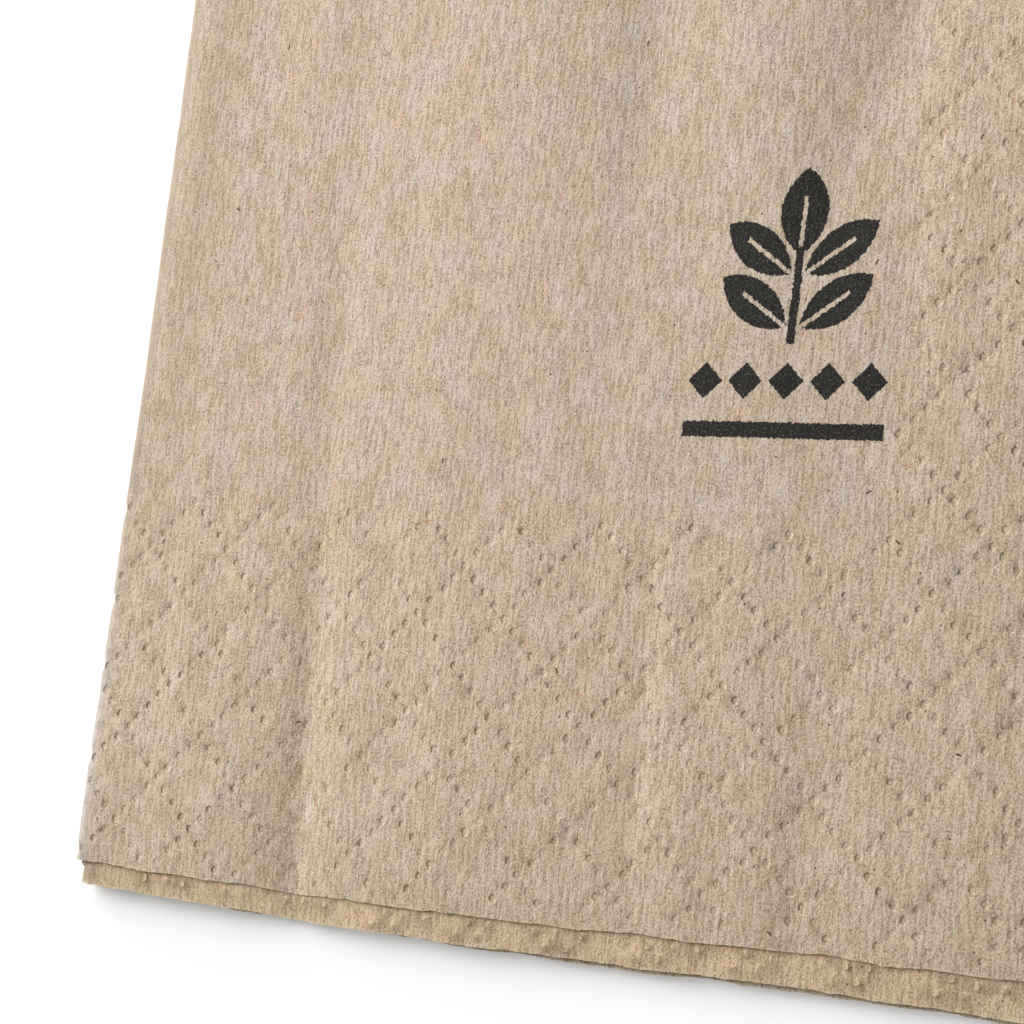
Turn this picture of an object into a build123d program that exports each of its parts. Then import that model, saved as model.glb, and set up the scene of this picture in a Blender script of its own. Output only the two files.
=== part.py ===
"""Paper cocktail napkin: one square sheet of two-ply tissue, folded twice into a quarter-size pack.

Millimetres, +Z up. The origin is the middle of the pack's underside. The first fold closes the back
(+Y), the second fold closes the left side (-X), and the sheet's cut edges are at the front and right.
"""

import os
from math import ceil, pi

from build123d import *

# The sheet as it is cut, before it is folded
sheet_width = 250.0
sheet_length = 250.0
sheet_thickness = 0.35

# How loosely the leaves lie on each other inside the two folds
first_fold_gap = 0.25
second_fold_gap = 0.30

# The first fold is a little off the middle and a little askew, so the inner leaves stick out at the
# front: by leaf_step at the second fold, and by this much more or less at the open end of each leaf
leaf_step = 2.3
leaf_skew = 1.2

# Embossing: rows pressed into the outer face cross as diamonds, in a border along the cut edges
diamond_width = 9.6
diamonds_across_border = 4
row_width = 1.0
row_depth = 0.14

# Heights in the pack, from the table up: outer leaf, inner leaf, inner leaf, outer leaf
leaf_pitch = sheet_thickness + first_fold_gap
pack_height = 2 * (leaf_pitch + sheet_thickness) + second_fold_gap
upper_inner_leaf = (pack_height + second_fold_gap) / 2
upper_outer_leaf = upper_inner_leaf + leaf_pitch
upper_gap_middle = upper_outer_leaf - first_fold_gap / 2

# Each fold takes its half turn of paper from the sheet, and the leaves share what is left
first_fold_radius = leaf_pitch / 2
outer_fold_radius = (pack_height - sheet_thickness) / 2
inner_fold_radius = (second_fold_gap + sheet_thickness) / 2
outer_leaf_width = (sheet_width - pi * outer_fold_radius) / 2
inner_leaf_width = (sheet_width - pi * inner_fold_radius) / 2
outer_leaf_length = (sheet_length - pi * first_fold_radius - leaf_step) / 2
inner_leaf_length = outer_leaf_length + leaf_step

# Places of the fold lines and cut edges, with the pack centred on the origin
pack_width = pack_height / 2 + inner_leaf_width
pack_length = inner_leaf_length + first_fold_radius + sheet_thickness / 2
second_fold = (pack_height - pack_width) / 2
outer_right = second_fold + outer_leaf_width
inner_right = second_fold + inner_leaf_width
inner_front = -pack_length / 2
outer_front = inner_front + leaf_step
first_fold = inner_front + inner_leaf_length
pack_middle = Plane.XY.offset(pack_height / 2)

# Diamonds are counted from the outer leaf's free corner, and rows cross at a node near the middle
border_width = diamond_width * diamonds_across_border
row_spacing = diamond_width / 2**0.5
diamonds_to_middle = round(outer_leaf_width / 2 / diamond_width)
middle_node_x = outer_right - diamonds_to_middle * diamond_width
middle_node_y = outer_front + diamonds_to_middle * diamond_width
row_reach = (pack_width + pack_length) / 2
rows_each_way = ceil(row_reach / 2**0.5 / row_spacing)
margin = 1.0


def embossed_rows(slant, height, rise, outline):
    """Parallel rows of triangular section within an outline, their groove or ridge rise above height."""
    across = Vector(1, 0, 0).rotate(Axis.Z, slant)
    along = across.cross(Vector(0, 0, 1))
    with BuildPart() as rows:
        with BuildSketch(Plane((middle_node_x, middle_node_y, height), x_dir=across, z_dir=along)):
            with GridLocations(row_spacing, 0, 2 * rows_each_way + 1, 1):
                Polygon((-row_width, -rise), (row_width, -rise), (0, rise))
        extrude(amount=row_reach, both=True)
        with BuildSketch(Plane.XY.offset(height - abs(rise))):
            add(outline)
        extrude(amount=2 * abs(rise), mode=Mode.INTERSECT)
    return rows.part


# The border on the outer leaves: a band along the right edge and a band along the front edge
with BuildSketch() as pressed_border:
    with Locations((outer_right + margin, first_fold)):
        Rectangle(border_width + margin, outer_leaf_length + leaf_step, align=(Align.MAX, Align.MAX))
    with Locations((outer_right + margin, outer_front + border_width)):
        Rectangle(outer_leaf_width + margin, border_width + leaf_step, align=(Align.MAX, Align.MAX))

# Where an inner leaf sticks out, its reverse face shows the same rows as low ridges
with BuildSketch() as raised_border:
    Polygon(
        (second_fold, inner_front),
        (inner_right, inner_front),
        (inner_right, outer_front + leaf_skew),
        (second_fold, outer_front),
    )

# Section through two leaves and the first fold that joins them
first_fold_axis = (first_fold, upper_gap_middle)
with BuildSketch(Plane.YZ.offset(second_fold)) as leaf_pair:
    with BuildLine():
        Line((outer_front, pack_height), (first_fold, pack_height))
        CenterArc(first_fold_axis, first_fold_radius + sheet_thickness / 2, 90, -180)
        Polyline(
            (first_fold, upper_inner_leaf),
            (inner_front, upper_inner_leaf),
            (inner_front, upper_inner_leaf + sheet_thickness),
            (first_fold, upper_inner_leaf + sheet_thickness),
        )
        CenterArc(first_fold_axis, first_fold_radius - sheet_thickness / 2, -90, 180)
        Polyline(
            (first_fold, upper_outer_leaf),
            (outer_front, upper_outer_leaf),
            (outer_front, pack_height),
        )
    make_face()

with BuildPart() as napkin:
    # Upper pair of leaves, turned round the second fold into the lower pair
    extrude(leaf_pair.sketch, amount=inner_leaf_width)
    mirror(about=pack_middle)
    revolve(leaf_pair.sketch, axis=Axis((second_fold, 0, pack_height / 2), (0, -1, 0)), revolution_arc=180)

    # The outer leaves go the long way round the second fold, so they end short on the right
    end_step = inner_right - outer_right
    with BuildSketch(Plane.XY.offset(upper_gap_middle)):
        with Locations((outer_right, 0)):
            Rectangle(end_step + margin, pack_length + margin, align=(Align.MIN, Align.CENTER))
    outer_end = extrude(amount=pack_height, mode=Mode.PRIVATE)
    add(outer_end, mode=Mode.SUBTRACT)
    mirror(outer_end, about=pack_middle, mode=Mode.SUBTRACT)

    # Their front edges run askew: the upper one draws back to the right, the lower one comes forward
    with BuildSketch(Plane.XY.offset(upper_gap_middle)):
        Polygon(
            (second_fold, outer_front),
            (outer_right, outer_front),
            (outer_right, outer_front + leaf_skew),
        )
    extrude(amount=pack_height, mode=Mode.SUBTRACT)
    with BuildSketch():
        Polygon(
            (second_fold, outer_front),
            (outer_right, outer_front - leaf_skew),
            (outer_right, outer_front),
        )
    extrude(amount=sheet_thickness)

    # Embossing, the same on both sides of the pack because the sheet was pressed before it was folded
    for slant in (45, -45):
        raised = embossed_rows(slant, upper_inner_leaf + sheet_thickness, row_depth, raised_border.sketch)
        add(raised)
        mirror(raised, about=pack_middle)
        pressed = embossed_rows(slant, pack_height, -row_depth, pressed_border.sketch)
        add(pressed, mode=Mode.SUBTRACT)
        mirror(pressed, about=pack_middle, mode=Mode.SUBTRACT)

napkin.part.label = "napkin"
os.makedirs("parts", exist_ok=True)
export_step(napkin.part, "parts/napkin.step")
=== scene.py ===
"""Folded brown tissue napkin, seen close at the corner where its second fold meets the cut edges."""

import math

import bpy
import numpy as np
from mathutils import Matrix, Vector, geometry, kdtree, noise


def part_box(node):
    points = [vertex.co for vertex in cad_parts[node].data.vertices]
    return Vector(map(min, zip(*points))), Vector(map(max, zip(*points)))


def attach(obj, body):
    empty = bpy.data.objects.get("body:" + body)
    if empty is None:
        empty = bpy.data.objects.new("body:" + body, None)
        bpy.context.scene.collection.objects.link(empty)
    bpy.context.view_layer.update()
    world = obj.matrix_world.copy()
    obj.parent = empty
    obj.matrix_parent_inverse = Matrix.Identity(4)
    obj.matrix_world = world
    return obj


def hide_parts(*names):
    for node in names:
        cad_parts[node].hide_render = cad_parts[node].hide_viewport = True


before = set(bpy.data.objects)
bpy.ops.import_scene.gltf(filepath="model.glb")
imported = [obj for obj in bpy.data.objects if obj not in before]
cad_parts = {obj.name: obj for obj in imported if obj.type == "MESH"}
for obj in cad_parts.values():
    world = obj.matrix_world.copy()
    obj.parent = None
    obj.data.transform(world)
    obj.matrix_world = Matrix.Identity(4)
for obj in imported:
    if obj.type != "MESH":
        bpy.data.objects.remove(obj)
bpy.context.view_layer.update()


# The view. The camera looks down on the front left corner of the napkin from its right, rolled so
# that the second fold stands almost upright at the left of the picture.
look_at = Vector((-0.01655, -0.02137, 0.0))
view_azimuth = math.radians(77.44)
view_elevation = math.radians(59.23)
view_roll = math.radians(-72.38)
view_distance = 0.2397

bpy.ops.object.camera_add()
camera = bpy.context.object
camera.data.sensor_width = 36.0
camera.data.lens = 86.0
camera.data.clip_start = 0.01
camera.matrix_world = (
    Matrix.Translation(look_at)
    @ Matrix.Rotation(view_azimuth, 4, "Z")
    @ Matrix.Rotation(math.pi / 2 - view_elevation, 4, "X")
    @ Matrix.Rotation(view_roll, 4, "Z")
    @ Matrix.Translation((0, 0, view_distance))
)
bpy.context.scene.camera = camera


# The napkin, a square of unbleached two-ply tissue. It is laid out flat first, s across it and t along
# it in millimetres, with the dots that press the plies together along its border. Then it is folded
# twice, loosely, and its leaves ripple a little.
sheet_side = 250.0
sheet_thickness = 0.35
first_fold_gap = 0.25
second_fold_gap = 0.30
leaf_step = 2.3
leaf_skew = 1.2

half_side = sheet_side / 2
leaf_pitch = sheet_thickness + first_fold_gap
pack_height = 2 * (leaf_pitch + sheet_thickness) + second_fold_gap
pair_radius = (second_fold_gap + sheet_thickness + leaf_pitch) / 2
first_fold_radius = leaf_pitch / 2
first_fold_arc = math.pi * first_fold_radius
outer_leaf_length = (sheet_side - first_fold_arc - leaf_step) / 2
outer_leaf_width = (sheet_side - math.pi * (pair_radius + first_fold_radius)) / 2
fold_slant = leaf_skew / 2 / outer_leaf_width
low, high = (np.array(corner) * 1000 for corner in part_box("napkin"))
second_fold = low[0] + pack_height / 2
first_fold = high[1] - first_fold_radius - sheet_thickness / 2

# The embossing is a grid of dots turned 45 degrees, with every fourth row pressed, so that the rows
# cross as diamonds. It ran a little askew of the cut. A dot is rings of radius, height and darkening,
# drawn in towards one side and darkened on that side, a crease that on the top leaf's pits is painted
# shade on the wall the lamp leaves in shade. No two are alike in strength, length and place, and they
# are pressed harder in some patches than in others.
grid_step = 1.2
rows_per_diamond = 4
border_steps = 32
emboss_shift = 0.34
emboss_slant = 2 * fold_slant
edge_clearance = 0.75
pressed_dot = ((0.26, -0.085, 0.0), (0.34, -0.075, 1.0), (0.42, 0.0, 0.4), (0.52, 0.0, 0.0))
plain_dot = ((0.28, -0.09, 0.6), (0.45, 0.0, 0.0))
raised_dot = ((0.30, -0.18, 0.0), (0.44, 0.0, 0.9))
ring_points = 7
dot_lean = 0.06
dot_strength = (0.55, 1.20)
dot_stretch = (0.85, 1.15)
dot_scatter = 0.10
centre_depth = 0.8
patch_contrast = 0.6
patches_per_mm = 0.13
rng = np.random.default_rng(11)


def embossed_places(s_range, t_range):
    """Dots of the border within a part of the flat sheet, and the places between them."""
    dots, between = [], []
    last = round(sheet_side / grid_step)
    for row in range(last + 1):
        for column in range(row % 2, last + 1, 2):
            if min(column, last - column, row, last - row) > border_steps:
                continue
            s = half_side + emboss_shift - column * grid_step
            t = row * grid_step - emboss_slant * s
            if not (s_range[0] <= s < s_range[1] and t_range[0] <= t < t_range[1]):
                continue
            if min(half_side - abs(s), t, sheet_side - t) < edge_clearance:
                continue
            rising = (row - column) // 2 % rows_per_diamond
            falling = (row + column) // 2 % rows_per_diamond
            (between if rising and falling else dots).append((s, t))
    return dots, between


# A cut through soft tissue is uneven, in a slow wave and a quick one: height, and turns to a millimetre.
# Both die out towards the corners.
cut_points_per_side = 300
cut_waves = ((0.26, 0.16), (0.16, 0.7))
corner_points = 4


def cut_outline(count):
    """The sheet's outline, as so many points along each side."""
    corners = [(-half_side, 0), (half_side, 0), (half_side, sheet_side), (-half_side, sheet_side)]
    points = []
    for side in range(4):
        (s0, t0), (s1, t1) = corners[side], corners[(side + 1) % 4]
        outward = Vector((t1 - t0, s0 - s1)).normalized()
        for k in range(count):
            reach = k / count * sheet_side
            wave = 0.0
            for layer, (height, turns) in enumerate(cut_waves):
                wave += height * noise.noise(Vector((reach * turns, side * 9.1, 5 * layer)))
            wave *= min(1, k / corner_points, (count - k) / corner_points)
            s = s0 + (s1 - s0) * k / count + outward.x * wave
            t = t0 + (t1 - t0) * k / count + outward.y * wave
            points.append((s, t))
    return points


# Plain paper has lines of points this far apart. The folds, this wide, have narrow lines that follow
# them. Such a point keeps this far from every place of the grid, or by a fold from the dots alone.
line_step = 2.0
second_fold_zone = 2.6
first_fold_zone = 2.2
room_on_paper = 1.3
room_by_fold = 0.95


def sheet_face(outline, patches):
    """One face of the flat sheet: points, heights, crease and painted shade, and the triangles between.
    """
    points = [(s, t, 0.0, 0.0) for s, t in outline]
    dot_places, all_places = [], []
    for (dots, between), profile in patches:
        dot_places += dots
        all_places += dots + between
        points += [(s, t, 0.0, 0.0) for s, t in between]
        for s, t in dots:
            patch = noise.noise(Vector((s * patches_per_mm, t * patches_per_mm, 3)))
            strength = rng.uniform(*dot_strength) * (1 + patch_contrast * patch)
            s, t = s + rng.normal(0, dot_scatter), t + rng.normal(0, dot_scatter)
            stretch = rng.uniform(*dot_stretch)
            points.append((s - dot_lean, t, profile[0][1] * strength * centre_depth, 0.0))
            # The last number of each ring darkens the dot on one side only: a crease, and on the top
            # leaf's pits painted shade on the wall the lamp leaves in shade.
            for ring, (radius, height, crease_and_painted_shade) in enumerate(profile):
                lean = 0 if ring == len(profile) - 1 else dot_lean
                for k in range(ring_points):
                    angle = k * math.tau / ring_points
                    points.append((
                        s + radius * stretch * math.cos(angle) - lean,
                        t + radius / stretch * math.sin(angle),
                        height * strength,
                        crease_and_painted_shade * strength * max(-math.cos(angle), 0),
                    ))
    dot_tree = kdtree.KDTree(len(dot_places))
    place_tree = kdtree.KDTree(len(all_places))
    for tree, places in ((dot_tree, dot_places), (place_tree, all_places)):
        for index, (s, t) in enumerate(places):
            tree.insert((s, t, 0), index)
        tree.balance()

    wide = np.arange(-half_side + line_step, half_side - 1, line_step)
    bend_lines = [np.arange(-1.8, -0.6, 0.2), np.arange(-0.6, 0.65, 0.1), np.arange(0.8, 1.9, 0.2)]
    s_lines = [s for s in wide if abs(s) > second_fold_zone] + list(np.concatenate(bend_lines))
    t_lines = [t + half_side for t in wide if abs(t) > second_fold_zone]
    turn_lines = [first_fold_arc * k / 10 for k in range(-2, 13)]
    for s in s_lines:
        turn_at = outer_leaf_length - fold_slant * s
        for t in t_lines + [turn_at + line for line in turn_lines]:
            close = abs(s) < second_fold_zone or abs(t - turn_at) < first_fold_zone
            tree, room = (dot_tree, room_by_fold) if close else (place_tree, room_on_paper)
            if tree.find((s, t, 0))[2] > room:
                points.append((s, t, 0.0, 0.0))

    rim = [list(range(len(outline)))]
    laid = geometry.delaunay_2d_cdt([Vector(point[:2]) for point in points], [], rim, 1, 1e-5)
    vertices, _, faces, sources, _, _ = laid
    raised = [points[source[0]][2:] if source else (0.0, 0.0) for source in sources]
    return np.array([tuple(vertex) for vertex in vertices]), np.array(raised), faces


# Along the front edges the upper leaves close up on each other, the outer one from a little past the
# second fold, and the cut has thinned the tissue
outer_droop = 0.36
inner_droop = 0.12
droop_start = 4.0
droop_reach = 6.0
edge_thinning = 0.7
thinning_reach = 0.5


def folded(s, t, height):
    """Where points of the flat sheet lie in the folded pack, height being from its middle surface."""
    turn_at = outer_leaf_length - fold_slant * s
    bend = np.clip((t - turn_at) / first_fold_radius, 0, math.pi)
    y = first_fold - np.maximum(turn_at - t, 0) - np.maximum(t - turn_at - first_fold_arc, 0)
    y += (first_fold_radius + height) * np.sin(bend)
    middle = pair_radius + first_fold_radius * np.cos(bend)
    droop = np.where(t < turn_at, outer_droop * np.clip(s / droop_start, 0, 1), inner_droop)
    droop *= np.exp(-((np.minimum(t, sheet_side - t) / droop_reach) ** 2))
    radius = middle + height * np.cos(bend) - droop
    angle = np.clip(s / middle, -math.pi / 2, math.pi / 2)
    x = second_fold + np.maximum(np.abs(s) - middle * math.pi / 2, 0) - radius * np.cos(angle)
    z = pack_height / 2 + radius * np.sin(angle)
    return x, y, z


# Soft creases in the stacked leaves: where each crosses y = 0 and how it leans, how far the paper falls
# to it on its left and rises from it on its right, its depth, and the middle and reach of its length
soft_creases = (
    (-60.6, 0.0, 1.2, 4.0, -0.16, 0, 100),
    (-60.2, 0.0, 1.2, 2.5, -0.30, 30, 30),
    (-38.0, 0.0, 14.0, 8.0, 0.80, 12, 36),
    (-38.7, -0.05, 3.2, 4.8, 1.22, -56, 42),
    (-5.6, -0.03, 4.2, 14.0, 1.15, 32, 30),
    (12.0, 0.29, 4.5, 11.0, 1.60, 32, 22),
    (-0.4, -0.04, 6.0, 2.8, 0.60, -40, 28),
    (18.0, 0.0, 3.2, 9.0, 0.60, -54, 20),
)

# Ripples in them: height, turns to a millimetre across and along, lean, and a number that picks the wave
ripples = (
    (0.20, 0.11, 0.02, 0.012, 1.7),
    (0.13, 0.24, 0.06, 0.0, 6.2),
    (0.12, 0.40, 0.26, 0.0, 9.4),
)

# The pack stands this much higher than pressed flat. Towards its front, from front_start on, the edges
# wave and draw back to the right, the lower leaves have slipped forward there, and the corner at the
# second fold is pulled out.
looseness = 0.55
front_start = 20
front_reach = 40
front_wave = 0.38
wave_crest = -31
wave_length = 19
draw_back = 0.006
draw_back_start = -5
lower_leaf_slip = 0.36
slip_start = -25
slip_reach = 25
corner_pull = 0.45
corner_start = 42
corner_reach = 18


def settled(x, y, z):
    """The pack as it lies: a little askew, its front edges bowed, and its leaves rippled."""
    y = y + fold_slant * (x - second_fold)
    towards_front = np.clip((-y - front_start) / front_reach, 0, 1)
    bow = draw_back * np.maximum(x - draw_back_start, 0)
    bow -= front_wave * np.cos((x - wave_crest) / wave_length)
    slipped = lower_leaf_slip * np.clip((x - slip_start) / slip_reach, 0, 1)
    slipped += 2 * fold_slant * (x - second_fold)
    y = y + (bow - np.where(z < pack_height / 2, slipped, 0)) * towards_front
    x = x - corner_pull * towards_front**2 * np.clip((-x - corner_start) / corner_reach, 0, 1)
    lift = np.full(len(x), looseness)
    for across, lean, left, right, depth, middle, reach in soft_creases:
        beyond = x - across - lean * y
        slope_length = np.where(beyond > 0, right, left)
        lift -= depth * np.exp(-np.abs(beyond) / slope_length - ((y - middle) / reach) ** 2)
    for k, (a, b) in enumerate(zip(x, y)):
        for height, turns_across, turns_along, skew, wave in ripples:
            at = Vector((a * turns_across + b * skew, b * turns_along, wave))
            lift[k] += height * noise.noise(at)
    return x, y, z + lift * np.clip(z / pack_height, 0, 1)


# The reverse shows only where the inner leaves stick out. There the dots stand up as bumps, and so does
# every third place between them.
strip_width = 6.0
everywhere = (-half_side, half_side)
upper_border = embossed_places((0, half_side), (0, outer_leaf_length - 1))
lower_border = embossed_places((-half_side, 0), (0, outer_leaf_length - 1))
inner_dots, inner_between = embossed_places(everywhere, (sheet_side - strip_width, sheet_side))
inner_strip = (inner_dots + inner_between[::3], inner_between[1::3] + inner_between[2::3])
outline = cut_outline(cut_points_per_side)
face = sheet_face(outline, [(upper_border, pressed_dot), (lower_border, plain_dot)])
reverse = sheet_face(outline, [(inner_strip, raised_dot)])

flat = np.concatenate([face[0], reverse[0]])
raised = np.concatenate([face[1], reverse[1]])
count, rim = len(face[0]), len(outline)
on_reverse = np.arange(len(flat)) >= count
half_thickness = np.where(on_reverse, -sheet_thickness / 2, sheet_thickness / 2)
from_ends = np.minimum(flat[:, 1], sheet_side - flat[:, 1])
from_cut = np.minimum(half_side - np.abs(flat[:, 0]), from_ends)
thinning = edge_thinning * np.exp(-((from_cut / thinning_reach) ** 2))
height = raised[:, 0] + half_thickness * (1 - thinning)
placed = np.stack(settled(*folded(flat[:, 0], flat[:, 1], height)), 1) / 1000
triangles = list(face[2])
triangles += [[corner + count for corner in reversed(triangle)] for triangle in reverse[2]]
triangles += [[k, k + count, (k + 1) % rim + count, (k + 1) % rim] for k in range(rim)]

mesh = bpy.data.meshes.new("napkin_sheet")
mesh.from_pydata(placed.tolist(), [], triangles)
corners = np.empty(len(mesh.loops), dtype=np.int32)
mesh.loops.foreach_get("vertex_index", corners)
sheet_map = mesh.uv_layers.new(name="flat_sheet")
on_map = flat[corners] / sheet_side + (0.5, 0.0)
sheet_map.uv.foreach_set("vector", on_map.astype(np.float32).ravel())
for name, amounts in (("crease_and_painted_shade", raised[:, 1]), ("reverse", on_reverse)):
    attribute = mesh.attributes.new(name, "FLOAT", "POINT")
    attribute.data.foreach_set("value", amounts.astype(np.float32))
napkin = bpy.data.objects.new("napkin_sheet", mesh)
bpy.context.scene.collection.objects.link(napkin)
bpy.ops.object.select_all(action="DESELECT")
napkin.select_set(True)
bpy.context.view_layer.objects.active = napkin
bpy.ops.object.shade_smooth_by_angle(angle=math.radians(58))


class Shade:
    """A socket of a shader, on which sums are written as they would be for numbers."""

    def __init__(self, tree, socket=None):
        self.tree = tree
        self.socket = socket

    def node(self, kind, settings, inlets, outlet=0):
        made = self.tree.nodes.new("ShaderNode" + kind)
        for name, value in settings.items():
            setattr(made, name, value)
        for name, value in inlets.items():
            if isinstance(value, Shade):
                self.tree.links.new(value.socket, made.inputs[name])
            else:
                made.inputs[name].default_value = value
        return Shade(self.tree, made.outputs[outlet])

    def outlet(self, name):
        return Shade(self.tree, self.socket.node.outputs[name])

    def maths(self, operation, *values):
        return self.node("Math", {"operation": operation}, dict(enumerate(values)))

    def __add__(self, other):
        return self.maths("ADD", self, other)

    def __mul__(self, other):
        return self.maths("MULTIPLY", self, other)

    def __sub__(self, other):
        return self.maths("SUBTRACT", self, other)

    def __rsub__(self, other):
        return self.maths("SUBTRACT", other, self)

    def __abs__(self):
        return self.maths("ABSOLUTE", self)

    __radd__ = __add__
    __rmul__ = __mul__

    def over(self, start, end):
        """0 up to start and 1 from end, with a soft step between them."""
        settings = {"interpolation_type": "SMOOTHSTEP"}
        return self.node("MapRange", settings, {"Value": self, "From Min": start, "From Max": end})

    def under(self, limit, softness):
        return 1 - self.over(limit - softness, limit + softness)


def colour(red, green, blue):
    """A colour as a screen shows it, 0 to 255, in the linear numbers of a shader."""
    linear = []
    for channel in (red, green, blue):
        share = channel / 255
        linear.append(share / 12.92 if share < 0.04045 else ((share + 0.055) / 1.055) ** 2.4)
    return (*linear, 1)


def blended(first, second, share):
    return share.node("Mix", {"data_type": "RGBA"}, {0: share, 6: first, 7: second}, outlet=2)


tissue = bpy.data.materials.new("brown_tissue")
tissue.use_nodes = True
tree = tissue.node_tree
shader = tree.nodes["Principled BSDF"]
paper = Shade(tree)

# Places on the flat sheet in millimetres, so that the pattern goes round the folds with the paper
on_sheet = paper.node("UVMap", {"uv_map": "flat_sheet"}, {})
to_mm = {"Scale": (sheet_side, sheet_side, 1), "Location": (-half_side, 0, 0)}
place = paper.node("Mapping", {}, {"Vector": on_sheet} | to_mm)


def cloud(vector, size, detail=2.0, roughness=0.5, distortion=0.0):
    inlets = {"Vector": vector, "Scale": 1 / size, "Detail": detail}
    inlets |= {"Roughness": roughness, "Distortion": distortion}
    return paper.node("TexNoise", {"noise_dimensions": "2D"}, inlets)


def moved(vector, x, y, stretch_x=1.0, stretch_y=1.0):
    inlets = {"Vector": vector, "Location": (x, y, 0), "Scale": (stretch_x, stretch_y, 1)}
    return paper.node("Mapping", {}, inlets)


def either(first, second):
    return paper.maths("MINIMUM", first, second)


def both(first, second):
    return paper.maths("MAXIMUM", first, second)


from_fold = paper.node("SeparateXYZ", {}, {"Vector": place})
across_sheet = abs(from_fold)
down_sheet = from_fold.outlet("Y")
to_cut = either(half_side - across_sheet, either(down_sheet, sheet_side - down_sheet))

# Recycled pulp in three shades that drift into each other, in patches down to pin-head size. The
# reverse is warmer, and painted paler to offset the shade the upper leaf casts on the strip where it
# shows, and the border is pressed denser and yellower.
lilac = cloud(moved(place, 31, 7, 1, 0.8), 4.0, 5, 0.64, 0.3)
ochre = cloud(moved(place, 83, 51, 1, 0.8), 3.2, 5, 0.62, 0.3)
salmon = cloud(moved(place, 12, 97, 1, 0.8), 2.2, 4, 0.60, 0.4)
pulp = blended(colour(209, 189, 166), colour(213, 197, 185), lilac.over(0.40, 0.66) * 0.9)
pulp = blended(pulp, colour(203, 184, 153), ochre.over(0.44, 0.70) * 0.8)
pulp = blended(pulp, colour(221, 187, 163), salmon.over(0.50, 0.74) * 0.8)
reverse_side = paper.node("Attribute", {"attribute_name": "reverse"}, {}, outlet="Fac")
# The reverse is warmer, and painted lighter against the upper leaf's shade on the strip.
pulp = blended(pulp, colour(229, 196, 160), reverse_side * 0.75)
pulp = blended(pulp, colour(218, 196, 156), to_cut.under(39, 2) * 0.24)

# Creping leaves fine broken ridges that run along the sheet, and the pulp is pitted between its fibres.
# Each dot is darkened on one side: a crease, and on the top leaf's pits painted shade on the wall the
# lamp leaves in shade.
crepe = cloud(moved(place, 5, 3, 1, 0.50), 0.32, 2.5, 0.62, 0.5)
pitting = cloud(moved(place, 9, 1, 1, 0.90), 0.19, 2, 0.6)
long_crepe = cloud(moved(place, 2, 8, 1, 0.13), 0.37, 1.5, 0.5, 0.4)
ridges = crepe.over(0.38, 0.62) * 0.26 + long_crepe.over(0.40, 0.60) * 0.28
grain = ridges + pitting.over(0.38, 0.62) * 0.46
pulp = blended(colour(144, 124, 102), pulp, grain.over(-0.30, 0.80))
pulp = blended(pulp, colour(234, 220, 204), grain.over(0.42, 0.95) * 0.40)
# Painted shade: the crease value darkens one side of each dot, where a pit's wall lies in the lamp's
# shade.
crease_and_painted_shade = paper.node("Attribute", {"attribute_name": "crease_and_painted_shade"}, {}, outlet="Fac")
pulp = blended(pulp, colour(140, 116, 90), crease_and_painted_shade * 0.65)

# Along the second fold the colour is painted light and shade: pale and greyer near the cut, darker
# farther along, and beside the bend there a faint line of painted shade, the shadow of a soft trough.
# The cut itself frays to loose pale fibres.
# Painted light and shade on the fold: paler near the cut, darker farther along.
painted_fold_light_and_shade = blended(colour(174, 157, 138), colour(190, 181, 175), down_sheet.under(26, 14))
pulp = blended(pulp, painted_fold_light_and_shade, across_sheet.under(1.9, 1.3) * 0.85)
# Painted shade beside the fold, where a soft trough would lie in shadow.
painted_trough_shade = across_sheet.over(2.4, 3.8) * across_sheet.under(8.0, 2.8) * down_sheet.over(20, 50)
pulp = blended(pulp, colour(168, 142, 104), painted_trough_shade * 0.18)
loose = to_cut.under(0.14, 0.12) * crepe.over(0.40, 0.60)
pulp = blended(pulp, colour(232, 214, 180), loose * 0.6)


def scattered(size, chance, along, across, shift, bend):
    """Specks or short curved fibres of the pulp, one at most in each cell of this size."""
    spread = moved(place, shift, -shift)
    inlets = {"Vector": spread, "Scale": 1 / size, "Randomness": 1.0}
    cell = paper.node("TexVoronoi", {"voronoi_dimensions": "2D"}, inlets)
    dice = paper.node("SeparateColor", {}, {"Color": cell.outlet("Color")})
    apart = {0: spread, 1: cell.outlet("Position")}
    away = paper.node("VectorMath", {"operation": "SUBTRACT"}, apart)
    any_way = {"Vector": away, "Angle": dice * 6.28}
    turned = paper.node("VectorRotate", {"rotation_type": "Z_AXIS"}, any_way)
    run = paper.node("SeparateXYZ", {}, {"Vector": turned})
    off_line = run.outlet("Y") + run * run * (dice.outlet("Green") - 0.5) * bend
    there = dice.outlet("Blue").under(chance, 0.01)
    return abs(run).under(along, along * 0.25) * abs(off_line).under(across, across * 0.5) * there


# Specks, then fibres, the last one thick and dark: colour and how strongly it shows, cell size and the
# share of cells that hold one, half its length and width, the shift of the cells, and its bend
flecks = (
    ((112, 92, 68), 0.75, 1.7, 0.30, 0.07, 0.06, 3.0, 0.6),
    ((72, 58, 44), 0.85, 6.5, 0.40, 0.10, 0.09, 11.0, 0.6),
    ((120, 96, 70), 0.55, 4.6, 0.25, 0.5, 0.045, 23.0, 0.6),
    ((186, 124, 78), 0.5, 5.4, 0.20, 0.6, 0.06, 37.0, 0.6),
    ((238, 228, 212), 0.5, 5.0, 0.20, 0.4, 0.06, 51.0, 0.6),
    ((62, 50, 40), 0.9, 17.0, 0.5, 0.28, 0.09, 67.0, 2.0),
)
for fleck_colour, strength, *cells_and_form in flecks:
    pulp = blended(pulp, colour(*fleck_colour), scattered(*cells_and_form) * strength)

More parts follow.
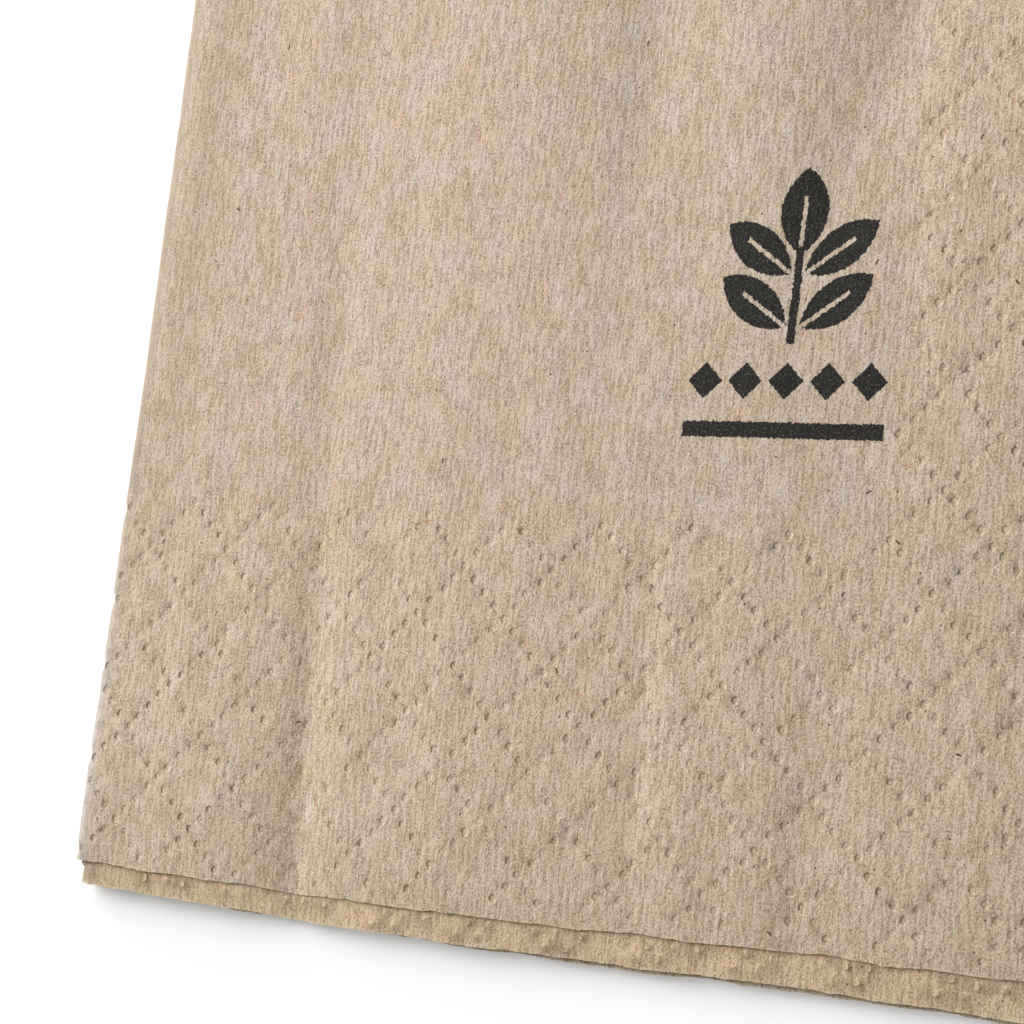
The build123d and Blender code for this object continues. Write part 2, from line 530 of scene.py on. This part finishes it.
# The print, in black ink that frays at its edges: a sprig of five leaves with bare midribs, a row of
# lozenges and a rule. It is worked out for one side and holds for both.
print_s = 75.35
print_t = 63.5
midrib_half = 0.20
midrib_end = 0.35
lozenge_count = 5
lozenge_pitch = 4.1
lozenge_reach = 1.75
lozenge_line = -11.7
from_print = moved(place, -print_s, -print_t)
ink_x = paper.node("SeparateXYZ", {}, {"Vector": from_print})
ink_y = ink_x.outlet("Y")
side = abs(ink_x)


def leaf(x, y, lean, half_length, half_width):
    """How far a place is outside a printed leaf, which is two arcs that meet in points."""
    radius = (half_length**2 + half_width**2) / (2 * half_width)
    cosine, sine = math.cos(lean), math.sin(lean)
    off_rib = abs((side - x) * cosine - (ink_y - y) * sine)
    along = (side - x) * sine + (ink_y - y) * cosine
    reach = off_rib + (radius - half_width)
    blade = paper.maths("SQRT", reach * reach + along * along) - radius
    midrib = both(off_rib - midrib_half, along - half_length * midrib_end)
    return both(blade, 0 - midrib)


def bar(x, y, half_width, half_height):
    return both(abs(ink_x - x) - half_width, abs(ink_y - y) - half_height)


row_half = lozenge_pitch * lozenge_count / 2
lozenge_x = paper.maths("PINGPONG", ink_x + row_half, lozenge_pitch / 2)
lozenge_x = lozenge_pitch / 2 - lozenge_x
lozenges = both(lozenge_x + abs(ink_y - lozenge_line) - lozenge_reach, side - row_half)
printed = either(leaf(0, 4.4, 0.0, 4.2, 2.3), leaf(4.1, 0.9, 0.95, 4.2, 2.0))
printed = either(printed, leaf(4.1, -4.2, 0.95, 4.2, 2.0))
printed = either(printed, bar(0, -3.6, 0.42, 4.6))
printed = either(either(printed, lozenges), bar(0, -16.3, 10.0, 0.75))
fray = (cloud(place, 0.35, 2, 0.6) - 0.5) * 0.34 + (crepe - 0.5) * 0.25
inked = (printed + fray).under(0.0, 0.05) * (1 - reverse_side)
missed = pitting.over(0.62, 0.72) * 0.16
pulp = blended(pulp, blended(colour(28, 28, 27), colour(54, 52, 48), grain), inked * (1 - missed))

surface = crepe * 0.5 + long_crepe * 0.3 + pitting * 0.4 + cloud(place, 1.1, 3, 0.6) * 0.5
bump = paper.node("Bump", {}, {"Height": surface, "Distance": 0.00014, "Strength": 0.8})
tree.links.new(pulp.socket, shader.inputs["Base Color"])
tree.links.new(bump.socket, shader.inputs["Normal"])
shader.inputs["Roughness"].default_value = 0.95
shader.inputs["Specular IOR Level"].default_value = 0.15
shader.inputs["Sheen Weight"].default_value = 0.22
shader.inputs["Sheen Roughness"].default_value = 0.45
mesh.materials.append(tissue)

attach(napkin, "root")
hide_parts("napkin")


# The floor, a white table. Seen directly it is lifted to white, more so to the right and far away
# where less of the lamp reaches it, and it keeps the napkin's shadow.
bpy.ops.mesh.primitive_plane_add(size=4)
floor = bpy.context.object
floor.name = "floor"
table = bpy.data.materials.new("white_table")
table.use_nodes = True
floor.data.materials.append(table)
table_shader = table.node_tree.nodes["Principled BSDF"]
table_shader.inputs["Base Color"].default_value = (0.9, 0.9, 0.9, 1)
table_shader.inputs["Roughness"].default_value = 0.9
table_shader.inputs["Specular IOR Level"].default_value = 0.0
rays = Shade(table.node_tree).node("LightPath", {}, {}, "Is Camera Ray")
seen = rays + rays.outlet("Is Glossy Ray") + rays.outlet("Is Transmission Ray")
table.node_tree.links.new(seen.socket, table_shader.inputs["Emission Strength"])
spot = rays.node("NewGeometry", {}, {})
rightward = rays.node("SeparateXYZ", {}, {"Vector": spot}).over(-0.09, 0.03)
far = rays.node("VectorMath", {"operation": "LENGTH"}, {0: spot}, outlet="Value").over(0.12, 0.5)
lift_at_left = 0.12
lift_to_right = 0.12
lift_far_away = 0.8
lift = lift_at_left + rightward * lift_to_right + far * lift_far_away
table.node_tree.links.new(lift.socket, table_shader.inputs["Emission Color"])

# The light, a weak white glow from all round, which is at full strength where it is seen directly, and
# a wide soft lamp from beyond the second fold, a little warm
room_light = 0.35
world = bpy.data.worlds.new("studio")
bpy.context.scene.world = world
world.use_nodes = True
background = world.node_tree.nodes["Background"]
background.inputs["Color"].default_value = (1.0, 1.0, 1.0, 1)
sky_rays = Shade(world.node_tree).node("LightPath", {}, {}, "Is Camera Ray")
sky_seen = sky_rays + sky_rays.outlet("Is Glossy Ray") + sky_rays.outlet("Is Transmission Ray")
glow = room_light + sky_seen * (1 - room_light)
world.node_tree.links.new(glow.socket, background.inputs["Strength"])

bpy.ops.object.light_add(type="AREA")
lamp = bpy.context.object
lamp.data.shape = "DISK"
lamp.data.size = 0.60
lamp.data.energy = 4.95
lamp.data.color = (1.0, 0.99, 0.975)
lamp.location = (-0.43, 0.24, 0.28)
lamp.rotation_mode = "QUATERNION"
lamp.rotation_quaternion = lamp.location.to_track_quat("Z", "Y")

bpy.context.scene.view_settings.view_transform = "Standard"
